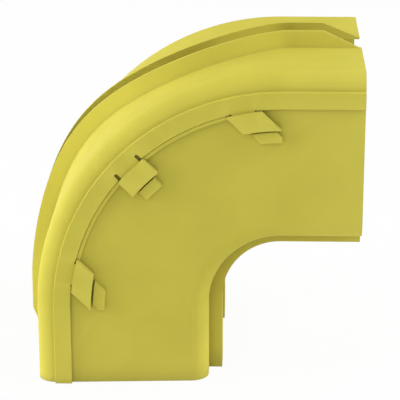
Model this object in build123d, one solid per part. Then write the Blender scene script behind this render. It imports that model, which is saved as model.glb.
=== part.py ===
from build123d import *
from math import cos, degrees, pi, radians, sin, sqrt, tan
import os

# A 90 degree outside bend of a fibre raceway: an open duct that turns downwards, with its open
# side on the outside of the bend, and a cover in two halves that leaves a slot to lay fibres in.
# Millimetres. The bend lies in the XZ plane: one leg runs along +X, the other down to Z = 0.
# The origin is the middle of the floor's end edge at the lower port.

# duct
bend_radius = 50.8          # of the floor that the fibres lie on
wall = 2.5                  # floor and side walls
floor_width = 154.2         # between the side walls, at the floor
side_height = 99.6          # from the floor to the top edge of a side wall
flare = 3.15                # degrees that each side wall leans outwards
corner_radius = 12.3        # outside, between floor and side wall
leg_length = 53.5           # straight part of each leg

# rails under the floor, which a support bracket slides between
rail_height = 9.0
rail_inset = 29.0           # from the outside of the side wall's top edge to the rail
rail_foot = 23.1            # width of the rail's foot
rail_sheet = 2.5

# cover
sheet = 1.8                 # thickness of the cover
skirt_sheet = 1.8           # thickness of the band that hangs outside the side wall
skirt_length = 9.7          # how far the band reaches below the side wall's top edge
skirt_bevel = 0.3           # along the band's lower edge
ledge_width = 2.4           # ledge from the band's face back to the foot of the shoulder
ledge_drop = 0.6            # how far that ledge slopes down to the band's face
shoulder_radius = 11.7
skirt_gap = 0.4             # between the band and the side wall, at the wall's top edge
seat_gap = 0.2              # between the cover's ledge and the top edge of the side wall

# slot with its upturned lips
slot_width = 21.6           # between the two lips at their tips
slot_wave = 23.4            # how far the slot swings to each side on its way round the bend
wave_blend = 9.0            # length over which a straight stretch runs into the wave
wave_steps = 16             # sections that the wave is drawn through
lip_height = 10.7           # above the flat of the cover
lip_lean = 3.6              # from the flat to the tip, towards the other lip
lip_sheet = 2.3
lip_taper = 24.0            # length over which the lip runs out at each port
lip_stop = 1.5              # from the end of the lip to the port

# latches, three on each side: tongues on the cover over catches on the side wall
tab_reach = 13.9            # from the band's lower edge to the tongue's free edge
tab_sheet = 1.9
tab_proud = 1.9             # tongue's face in front of the band's face
tab_cheek = 1.6
tab_hook = 1.6              # thickness of the hook at the free edge
tab_gap = 0.4               # between the band's edge and the tongue
tab_wall_gap = 0.25         # between the side wall and the tongue's inside
tab_root_overlap = 2.0      # how far the tongue's root reaches into the band
mid_tab_width = 23.4
side_tab_width = 19.4
side_tab_offset = 79.5      # from the bend's diagonal to a side latch
mid_relief_spacing = 19.0   # between the two relief cuts of a tongue
side_relief_spacing = 13.6
mid_relief = 4.6            # depth of the relief cuts into the band
side_relief = 0.6
mid_relief_width = 2.4
side_relief_width = 1.0
catch_height = 3.1
catch_stop = 7.8            # length of the catch below the hook
catch_bevel = 0.6
catch_ramp = 6.0
hook_play_below = 1.3
hook_play_above = 0.5
mid_catch_width = 14.6
side_catch_width = 13.0

# thin rib on the side wall, just below the band, from the first latch to the last
rib_width = 2.4
rib_height = 2.2
rib_gap = 0.2

# how far a cutting shape runs past what it cuts
cut_margin = 2.0

# derived radii, all measured from the bend's centre
floor_r = bend_radius
base_r = bend_radius - wall
wall_top_r = floor_r + side_height
ledge_r = wall_top_r + seat_gap
shoulder_r = ledge_r + skirt_sheet
skirt_r = wall_top_r - skirt_length
flat_r = shoulder_r + shoulder_radius
tip_r = flat_r + lip_height
rail_r = base_r - rail_height
tab_r = skirt_r - tab_reach
hook_r = tab_r + tab_hook

# derived half widths, measured from the middle plane
lean = tan(radians(flare))


def wall_face(r):
    """Half width over the outside of the side walls at a radius."""
    return floor_width / 2 + wall + (r - floor_r) * lean


skirt_in = wall_face(wall_top_r) + skirt_gap
skirt_out = skirt_in + skirt_sheet
shoulder_out = skirt_out - ledge_width
tab_out = skirt_out + tab_proud
rail_out = wall_face(wall_top_r) - rail_inset

# place of the bend's centre
bend_x = base_r + wall / 2
bend_z = leg_length
bend_centre = (bend_x, 0, bend_z)
bend_axis = Axis(bend_centre, (0, -1, 0))
section_plane = Plane(origin=bend_centre, x_dir=(0, 1, 0), z_dir=(1, 0, 0))
side_plane = Plane(origin=bend_centre, x_dir=(1, 0, 0), z_dir=(0, -1, 0))


def legs(section, start=0.0):
    """A section drawn as (y, r), run along the straight parts from a distance past the bend."""
    length = leg_length - start
    upper = extrude(section_plane.offset(start) * section, amount=length)
    lower = extrude(section_plane.offset(-start) * section, amount=-length)
    return upper + lower.rotate(bend_axis, 90)


def along_elbow(section):
    """The same section run along both legs and round the bend."""
    return legs(section) + revolve(section_plane * section, bend_axis, 90)


def ring(inner, outer):
    """A flat ring about the bend's centre, in the side view."""
    return Circle(outer) - Circle(inner)


def strip(across, width):
    """A strip along the bend's diagonal, in the side view, at a distance across from it."""
    long = wall_top_r
    centre = Location((-long / 2, across)) * Rectangle(long, width)
    return Rot(0, 0, -45) * centre


def side_block(shape, y_from, y_to):
    """A side-view shape as a block between two half widths, on the front side."""
    return extrude(side_plane.offset(y_from) * shape, amount=y_to - y_from)


# for each latch: place across the diagonal, widths of tongue and catch, and of the relief cuts
# the spacing, the depth and the width
mid_latch = (mid_tab_width, mid_catch_width, mid_relief_spacing, mid_relief, mid_relief_width)
side_latch = (side_tab_width, side_catch_width, side_relief_spacing, side_relief, side_relief_width)
latches = [(0.0, *mid_latch), (side_tab_offset, *side_latch), (-side_tab_offset, *side_latch)]


def duct_section():
    """Floor, side walls and rails as a (y, r) face."""
    def trapezoid(low_r, high_r, offset):
        low = wall_face(low_r) - offset
        high = wall_face(high_r) - offset
        return make_face(Polyline((-low, low_r), (low, low_r), (high, high_r), (-high, high_r), close=True))

    outer = trapezoid(base_r, wall_top_r, 0)
    outer = fillet(outer.vertices().group_by(Axis.Y)[0], corner_radius)
    inner = trapezoid(floor_r, wall_top_r + cut_margin, wall)
    inner = fillet(inner.vertices().group_by(Axis.Y)[0], corner_radius - wall)
    section = outer - inner
    for side in (-1, 1):
        web_height = rail_height + wall / 2
        web_place = Location((side * (rail_out - rail_sheet / 2), rail_r + web_height / 2))
        foot_place = Location((side * (rail_out - rail_foot / 2), rail_r + rail_sheet / 2))
        section += web_place * Rectangle(rail_sheet, web_height)
        section += foot_place * Rectangle(rail_foot, rail_sheet)
    return section


def catch_profile():
    """Stop and ramp of a catch as (y, r) faces on the front side, rooted in the wall."""
    root = -wall_face(tab_r) + wall / 2
    top = -wall_face(tab_r) - catch_height
    stop_high = tab_r - hook_play_below
    stop_low = stop_high - catch_stop
    stop = Polyline((root, stop_low), (top + catch_bevel, stop_low), (top, stop_low + catch_bevel),
                    (top, stop_high), (root, stop_high), close=True)
    ramp_low = hook_r + hook_play_above
    ramp_high = ramp_low + catch_ramp
    ramp = Polyline((root, ramp_low), (top, ramp_low), (top, ramp_low + catch_height / 2),
                    (-wall_face(ramp_high), ramp_high), (root, ramp_high), close=True)
    return make_face(stop) + make_face(ramp)


def front_wall_details():
    """Catches and rib on the front side wall."""
    rooted = wall_face(tab_r) - wall
    band = revolve(section_plane * catch_profile(), bend_axis, 90)
    details = []
    for across, _, catch_width, *_ in latches:
        details.append(band & side_block(strip(across, catch_width), rooted, tab_out))
    rib = ring(skirt_r - rib_gap - rib_width, skirt_r - rib_gap) & strip(0, 2 * side_tab_offset)
    for across, tab_width, *_ in latches:
        rib -= strip(across, tab_width + 2 * rib_gap)
    details.append(side_block(rib, wall_face(skirt_r) - wall / 2, wall_face(skirt_r) + rib_height))
    return details


def channel():
    """The duct elbow: one section round the bend, with the same details on both walls."""
    body = along_elbow(duct_section())
    for detail in front_wall_details():
        body = body + detail + mirror(detail, Plane.XZ)
    return body


# arc length round the bend at the flat of the cover, which the slot's wave is drawn over
wave_length = flat_r * pi / 2


def slot_middle(s):
    """Middle of the slot at a distance s past the start of the bend."""
    slope = -2 * pi * slot_wave / wave_length
    for end, sign in ((0, 1), (wave_length, -1)):
        inside = sign * (s - end)
        if -wave_blend < inside < wave_blend:
            return sign * slope * (inside + wave_blend) ** 2 / (4 * wave_blend)
    return -slot_wave * sin(2 * pi * s / wave_length)


def waved(section_at):
    """A section that follows the slot: lofted round the bend, straight on both legs."""
    total = wave_length + 2 * wave_blend
    sections = []
    for i in range(wave_steps + 1):
        s = total * i / wave_steps - wave_blend
        middle = slot_middle(s) if 0 < i < wave_steps else 0.0
        before = min(s, 0)
        past = max(s - wave_length, 0)
        turn = degrees((s - before - past) / flat_r)
        face = section_plane.offset(-before - past) * section_at(middle)
        sections.append(face.rotate(bend_axis, turn))
    return loft(sections) + legs(section_at(0.0), wave_blend)


def lip_face(middle, r):
    """Place across the duct of the front lip's inner face, at a radius."""
    return middle - slot_width / 2 - lip_lean * (tip_r - r) / lip_height


def lip_section(middle):
    """Front lip as a (y, r) face, from inside the sheet to its tip, running on past its inner face."""
    root_r = flat_r - sheet / 2
    root = lip_face(middle, root_r)
    tip = lip_face(middle, tip_r)
    return make_face(Polyline((root - lip_sheet, root_r), (tip - lip_sheet, tip_r),
                              (tip + cut_margin, tip_r), (root + cut_margin, root_r), close=True))


def slot_section(middle):
    """What the slot takes away from the front half, as a (y, r) face that ends at the lip's inner face."""
    far = slot_wave + cut_margin
    low_r = flat_r - sheet - cut_margin
    high_r = tip_r + cut_margin
    return make_face(Polyline((lip_face(middle, low_r), low_r), (lip_face(middle, high_r), high_r),
                              (far, high_r), (far, low_r), close=True))


def cover_section():
    """Band, ledge, shoulder and flat of the front half, as a (y, r) face."""
    inner_radius = shoulder_radius - sheet
    flat_start = -shoulder_out + shoulder_radius
    outer_mid = (flat_start - shoulder_radius * cos(pi / 4), flat_r - shoulder_radius * (1 - sin(pi / 4)))
    inner_mid = (flat_start - inner_radius * cos(pi / 4), flat_r - sheet - inner_radius * (1 - sin(pi / 4)))
    inside = -shoulder_out + sheet
    edges = [
        Polyline((-skirt_in, skirt_r), (-skirt_out + skirt_bevel, skirt_r),
                 (-skirt_out, skirt_r + skirt_bevel), (-skirt_out, shoulder_r - ledge_drop),
                 (-shoulder_out, shoulder_r)),
        ThreePointArc((-shoulder_out, shoulder_r), outer_mid, (flat_start, flat_r)),
        Polyline((flat_start, flat_r), (slot_wave, flat_r), (slot_wave, flat_r - sheet),
                 (flat_start, flat_r - sheet)),
        ThreePointArc((flat_start, flat_r - sheet), inner_mid, (inside, shoulder_r)),
        Polyline((inside, shoulder_r), (inside, ledge_r), (-skirt_in, ledge_r), (-skirt_in, skirt_r)),
    ]
    return make_face(edges)


def tab(across, width, root_width):
    """A tongue over a catch: plate, cheeks and hook, joined to the band between its relief cuts."""
    inner_face = wall_face(skirt_r) + tab_wall_gap
    block = side_block(strip(across, width) & ring(tab_r, skirt_r - tab_gap), inner_face, tab_out)
    root_r = skirt_r - tab_gap - tab_cheek
    pocket = side_block(strip(across, width - 2 * tab_cheek) & ring(hook_r, root_r),
                        inner_face, tab_out - tab_sheet)
    root = side_block(strip(across, root_width) & ring(root_r, skirt_r + tab_root_overlap),
                      skirt_in, skirt_out)
    return block - pocket + root


def relief_cuts(across, spacing, depth, width):
    """Cuts into the band, one at each side of a tongue. A deep cut has a round end."""
    cuts = []
    for side in (-1, 1):
        place = across + side * spacing / 2
        straight = depth
        if depth > width:
            straight = depth - width / 2
        end_r = skirt_r + straight
        cut = strip(place, width) & ring(skirt_r - tab_gap / 2, end_r)
        if depth > width:
            along = sqrt(end_r ** 2 - place ** 2)
            cut += Rot(0, 0, -45) * (Location((-along, place)) * Circle(width / 2))
        cuts.append(side_block(cut, skirt_in - cut_margin, skirt_out + cut_margin))
    return cuts


def lip_run_out():
    """Wedge that cuts the lip down to the flat towards the upper port."""
    foot = leg_length - lip_stop
    high = tip_r + cut_margin
    start = foot - lip_taper - cut_margin * lip_taper / lip_height
    end = leg_length + cut_margin
    wedge = make_face(Polyline((foot, flat_r), (end, flat_r), (end, high), (start, high), close=True))
    return side_block(wedge, -slot_wave, skirt_in)


def cover_half():
    """The front half: band, shoulder, flat and lip, with its tongues."""
    half = along_elbow(cover_section()) + waved(lip_section) - waved(slot_section)
    upper_end = lip_run_out()
    lower_end = mirror(upper_end, section_plane).rotate(bend_axis, 90)
    half = half - upper_end - lower_end
    for across, width, _, spacing, depth, cut_width in latches:
        half += tab(across, width, spacing - cut_width)
        for cut in relief_cuts(across, spacing, depth, cut_width):
            half -= cut
    return half


def main():
    os.makedirs("parts", exist_ok=True)
    front = cover_half()
    # the slot's wave makes both halves the same moulding, turned about the bend's diagonal
    rear = front.rotate(Axis(bend_centre, (-1, 0, 1)), 180)
    nodes = {"duct_elbow": channel(), "front_cover_half": front, "rear_cover_half": rear}
    for name, solid in nodes.items():
        export_step(solid, f"parts/{name}.step")
        print(name, len(solid.solids()), round(solid.volume), solid.bounding_box())


main()
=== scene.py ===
from math import cos, pi, radians, sin

import bpy
from mathutils import Matrix, Vector

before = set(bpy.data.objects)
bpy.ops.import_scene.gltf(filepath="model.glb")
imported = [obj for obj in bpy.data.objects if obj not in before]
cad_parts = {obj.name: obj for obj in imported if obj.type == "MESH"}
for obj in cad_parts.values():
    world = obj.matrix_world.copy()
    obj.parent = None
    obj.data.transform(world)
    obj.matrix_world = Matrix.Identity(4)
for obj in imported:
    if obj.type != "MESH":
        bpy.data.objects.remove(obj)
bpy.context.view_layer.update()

# Camera, as read from the photograph. Lengths in millimetres, but for the far clip, in metres.
TARGET = Vector((-4.1, -85.2, 131.7))
DISTANCE = 1247.2
AZIMUTH = radians(1.79)
ELEVATION = radians(18.78)
ROLL = radians(-0.085)
LENS = 171.0
SENSOR_WIDTH = 36.0
MILLIMETRES_IN_A_METRE = 1000
FAR_CLIP = 100.0

# Light. Lengths in metres.
AIM = Vector((0.0, 0.0, 0.11))  # middle of the object
LAMP_DISTANCE = 2.2
LAMP_WIDTH = 1.4
SKY_STRENGTH = 0.30

# Floor. Lengths in metres.
FLOOR_WIDTH = 30
FLOOR_DROP = 0.0002  # keeps the floor clear of the part's feet
FLOOR_GREY = 0.82
FLOOR_ROUGHNESS = 0.9
PAPER_WHITE = 0.94  # share of the floor that is plain white where it is seen directly

# Plastic. Lengths in metres.
YELLOW = (0.619, 0.553, 0.079)
DEEP = 0.965  # the slow clouds of colour run from this share of it
PALE = 1.02  # to this one
# Sharp edges are made paler: this share of the colour, plus a little white.
SHARP_EDGE_SHARE = 1.10
SHARP_EDGE_WHITE = 0.02  # added on sharp edges
# Painted shade: ambient occlusion darkens the colour in creases, corners and gaps between parts, where shade
# falls.
PAINTED_SHADE_TINT = (0.56, 0.55, 0.93)  # share of red, green and blue left where the painted shade in creases is deepest
PAINTED_SHADE_CURVE = 1.4
PAINTED_SHADE_SAMPLES = 8
COVER_PAINTED_SHADE_REACH = 0.006
DUCT_PAINTED_SHADE_REACH = 0.016
GLOSS = 0.04
EDGE_RADIUS = 0.0005
EDGE_SAMPLES = 6
GRAIN_STRENGTH = 0.12
GRAIN_HEIGHT = 0.0002

# Colour sockets of the Mix node, which share their names with its number sockets
MIX_FIRST = 6
MIX_SECOND = 7
MIX_RESULT = 2


def add_camera():
    right = Vector((cos(AZIMUTH), sin(AZIMUTH), 0))
    ahead = Vector((-sin(AZIMUTH) * cos(ELEVATION), cos(AZIMUTH) * cos(ELEVATION), -sin(ELEVATION)))
    up = right.cross(ahead)
    turned_right = right * cos(ROLL) + up * sin(ROLL)
    turned_up = up * cos(ROLL) - right * sin(ROLL)
    place = (TARGET - ahead * DISTANCE) / MILLIMETRES_IN_A_METRE
    data = bpy.data.cameras.new("camera")
    data.sensor_width = SENSOR_WIDTH
    data.lens = LENS
    data.clip_end = FAR_CLIP
    camera = bpy.data.objects.new("camera", data)
    rows = [(turned_right[i], turned_up[i], -ahead[i], place[i]) for i in range(3)]
    camera.matrix_world = Matrix(rows + [(0, 0, 0, 1)])
    bpy.context.collection.objects.link(camera)
    bpy.context.scene.camera = camera


def add_lamp(name, direction, level):
    """Round soft lamp. At level 1 a surface that faces it gets as much light as from a white sky."""
    data = bpy.data.lights.new(name, "AREA")
    data.shape = "DISK"
    data.size = LAMP_WIDTH
    data.energy = level * (pi * LAMP_DISTANCE) ** 2
    lamp = bpy.data.objects.new(name, data)
    towards = Vector(direction).normalized()
    lamp.location = AIM + towards * LAMP_DISTANCE
    lamp.rotation_euler = (-towards).to_track_quat("-Z", "Y").to_euler()
    bpy.context.collection.objects.link(lamp)


def new_material(name):
    material = bpy.data.materials.new(name)
    material.use_nodes = True
    return material, material.node_tree.nodes, material.node_tree.links


def feed(links, value, socket):
    """Link another node's output to the socket, or set a plain value there."""
    if isinstance(value, bpy.types.NodeSocket):
        links.new(value, socket)
    else:
        socket.default_value = value


def computed(nodes, links, operation, first, second):
    """Output of a Math node on two values, each a number or another node's output."""
    node = nodes.new("ShaderNodeMath")
    node.operation = operation
    feed(links, first, node.inputs[0])
    feed(links, second, node.inputs[1])
    return node.outputs["Value"]


def moulded_plastic(name, shift, painted_shade_reach):
    """Matt moulded plastic: fine grain, slow changes of colour and gloss, slightly paler sharp edges,
    and painted shade that darkens the colour in creases. shift moves the pattern; the last argument is how
    near a face must be for its crease to get painted shade."""
    material, nodes, links = new_material(name)
    shader = nodes["Principled BSDF"]
    place = nodes.new("ShaderNodeTexCoord")
    moved = nodes.new("ShaderNodeMapping")
    moved.inputs["Location"].default_value = (shift, 2 * shift, 3 * shift)
    links.new(place.outputs["Object"], moved.inputs["Vector"])

    def noise(scale, detail, roughness):
        node = nodes.new("ShaderNodeTexNoise")
        node.inputs["Scale"].default_value = scale
        node.inputs["Detail"].default_value = detail
        node.inputs["Roughness"].default_value = roughness
        links.new(moved.outputs["Vector"], node.inputs["Vector"])
        return node.outputs["Fac"]

    def ranged(value, source, target):
        """The value, with the source range stretched to the target range and held inside it."""
        node = nodes.new("ShaderNodeMapRange")
        node.inputs["From Min"].default_value, node.inputs["From Max"].default_value = source
        node.inputs["To Min"].default_value, node.inputs["To Max"].default_value = target
        links.new(value, node.inputs["Value"])
        return node.outputs["Result"]

    def mixed(factor, first, second):
        node = nodes.new("ShaderNodeMix")
        node.data_type = "RGBA"
        links.new(factor, node.inputs["Factor"])
        feed(links, first, node.inputs[MIX_FIRST])
        feed(links, second, node.inputs[MIX_SECOND])
        return node.outputs[MIX_RESULT]

    # colour: slow clouds, then paler edges, then painted shade in creases
    deep = tuple(DEEP * c for c in YELLOW) + (1,)
    pale = tuple(PALE * c for c in YELLOW) + (1,)
    sharp_edge_colour = tuple(min(1.0, SHARP_EDGE_SHARE * c + SHARP_EDGE_WHITE) for c in YELLOW) + (1,)
    # painted shade: the colour that the deepest creases are darkened to
    painted_shade_colour = tuple(share * c for share, c in zip(PAINTED_SHADE_TINT, YELLOW)) + (1,)
    cloud = noise(scale=28, detail=3, roughness=0.5)
    clouds = mixed(ranged(cloud, source=(0.35, 0.65), target=(0, 1)), deep, pale)
    geometry = nodes.new("ShaderNodeNewGeometry")
    edge = ranged(geometry.outputs["Pointiness"], source=(0.53, 0.62), target=(0, 0.6))
    # painted shade: the less open a point is, the more its colour is darkened towards the painted shade
    # colour
    corners = nodes.new("ShaderNodeAmbientOcclusion")
    corners.samples = PAINTED_SHADE_SAMPLES
    corners.inputs["Distance"].default_value = painted_shade_reach
    closed = computed(nodes, links, "SUBTRACT", 1.0, corners.outputs["AO"])
    painted_shade_amount = computed(nodes, links, "POWER", closed, PAINTED_SHADE_CURVE)
    links.new(mixed(painted_shade_amount, mixed(edge, clouds, sharp_edge_colour), painted_shade_colour), shader.inputs["Base Color"])

    patches = noise(scale=60, detail=4, roughness=0.6)
    links.new(ranged(patches, source=(0.3, 0.7), target=(0.50, 0.60)), shader.inputs["Roughness"])
    shader.inputs["Specular IOR Level"].default_value = GLOSS

    # fine grain on edges that catch the light as if slightly rounded
    soft_edges = nodes.new("ShaderNodeBevel")
    soft_edges.samples = EDGE_SAMPLES
    soft_edges.inputs["Radius"].default_value = EDGE_RADIUS
    grain = nodes.new("ShaderNodeBump")
    grain.inputs["Strength"].default_value = GRAIN_STRENGTH
    grain.inputs["Distance"].default_value = GRAIN_HEIGHT
    links.new(noise(scale=1400, detail=2, roughness=0.5), grain.inputs["Height"])
    links.new(soft_edges.outputs["Normal"], grain.inputs["Normal"])
    links.new(grain.outputs["Normal"], shader.inputs["Normal"])
    return material


def dress(node, material):
    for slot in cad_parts[node].material_slots:
        slot.material = material


def seen_directly(nodes, links):
    """1 for camera, glossy and transmission rays, 0 for the rays that carry light."""
    path = nodes.new("ShaderNodeLightPath")
    seen = path.outputs["Is Camera Ray"]
    for ray in ("Is Glossy Ray", "Is Transmission Ray"):
        seen = computed(nodes, links, "MAXIMUM", seen, path.outputs[ray])
    return seen


def add_floor():
    """Pale floor. Seen directly, a share of it is plain white, which keeps the shadow light."""
    bpy.ops.mesh.primitive_plane_add(size=FLOOR_WIDTH, location=(0, 0, -FLOOR_DROP))
    floor = bpy.context.object
    floor.name = "floor"
    material, nodes, links = new_material("floor")
    shader = nodes["Principled BSDF"]
    shader.inputs["Base Color"].default_value = (FLOOR_GREY, FLOOR_GREY, FLOOR_GREY, 1)
    shader.inputs["Roughness"].default_value = FLOOR_ROUGHNESS
    shader.inputs["Specular IOR Level"].default_value = 0.0
    white = nodes.new("ShaderNodeEmission")
    share = computed(nodes, links, "MULTIPLY", seen_directly(nodes, links), PAPER_WHITE)
    mix = nodes.new("ShaderNodeMixShader")
    links.new(share, mix.inputs["Fac"])
    links.new(shader.outputs["BSDF"], mix.inputs[1])
    links.new(white.outputs["Emission"], mix.inputs[2])
    links.new(mix.outputs["Shader"], nodes["Material Output"].inputs["Surface"])
    floor.data.materials.append(material)


def add_sky():
    """Even soft light from all round. The floor fills the photograph's view, so the sky isn't seen there."""
    world = bpy.data.worlds.new("studio")
    bpy.context.scene.world = world
    world.use_nodes = True
    background = world.node_tree.nodes["Background"]
    background.inputs["Color"].default_value = (1, 1, 1, 1)
    background.inputs["Strength"].default_value = SKY_STRENGTH


cover_plastic = moulded_plastic("cover_plastic", 1.0, COVER_PAINTED_SHADE_REACH)
duct_plastic = moulded_plastic("duct_plastic", 5.0, DUCT_PAINTED_SHADE_REACH)
dress("duct_elbow", duct_plastic)
dress("front_cover_half", cover_plastic)
dress("rear_cover_half", cover_plastic)

add_camera()
add_floor()
add_sky()
add_lamp("key", (-0.95, -0.16, 0.25), 0.76)
add_lamp("left_back", (-0.75, 0.60, 0.30), 0.37)
add_lamp("front", (-0.05, -0.80, 0.55), 0.14)
add_lamp("right", (0.92, 0.20, 0.25), 0.33)
add_lamp("top_right", (0.70, -0.10, 0.70), 0.61)
bpy.context.scene.view_settings.view_transform = "Standard"
